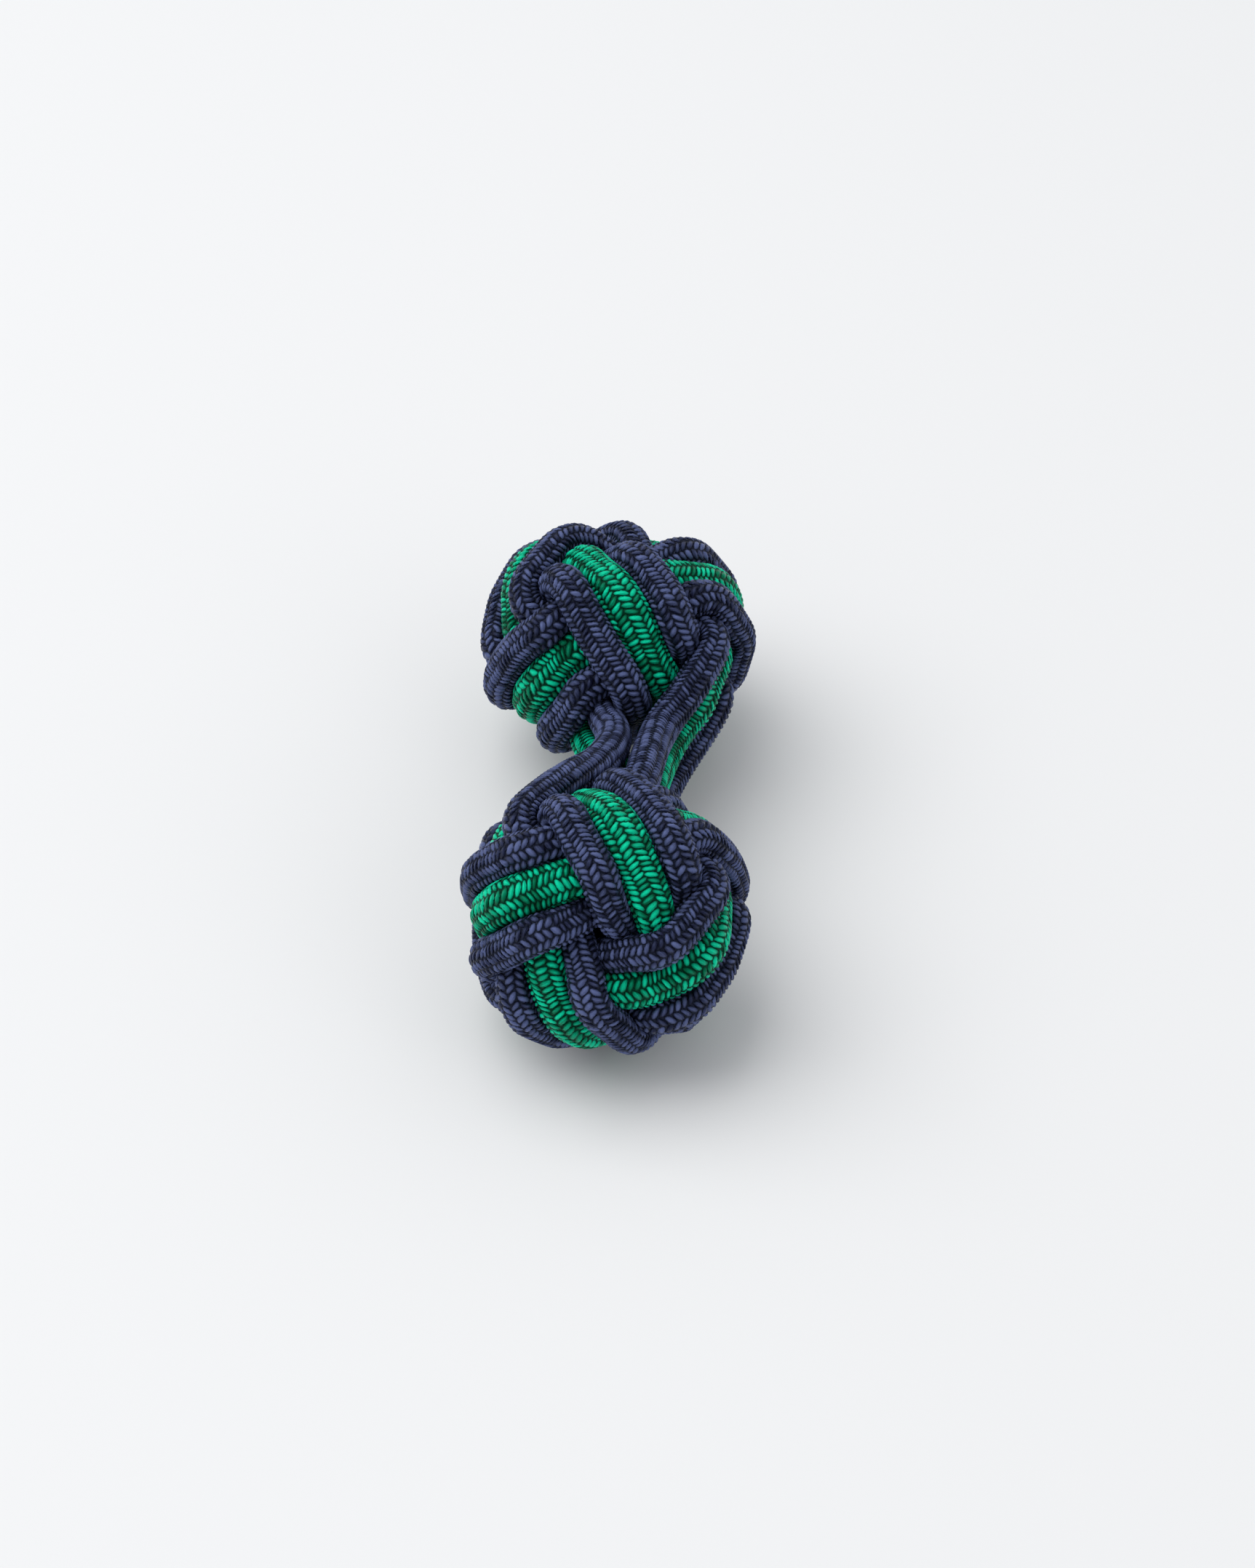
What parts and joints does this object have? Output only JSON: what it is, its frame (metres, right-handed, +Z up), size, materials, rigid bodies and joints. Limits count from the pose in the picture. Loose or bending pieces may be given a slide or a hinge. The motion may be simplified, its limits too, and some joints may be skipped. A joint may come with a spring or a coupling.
{
  "type": "silk knot cuff button",
  "caption": "Two braided ball knots of navy and green elastic cord joined by a short elastic link, for closing a double shirt cuff.",
  "frame": {"origin": "on the resting surface, under the middle of the button's box", "axes": "+Y along the link from the front knot to the back knot, +Z up, +X to the right of the front knot"},
  "size_m": [0.015, 0.033, 0.014],
  "materials": {
    "navy_cord": "lustrous braided viscose over an elastic core",
    "green_cord": "lustrous braided viscose over an elastic core"
  },
  "bodies": {
    "root": {"front_knot_inner_navy": "navy_cord", "front_knot_green": "green_cord", "front_knot_outer_navy": "navy_cord", "back_knot_inner_navy": "navy_cord", "back_knot_green": "green_cord", "back_knot_outer_navy": "navy_cord"}
  },
  "joints": []
}
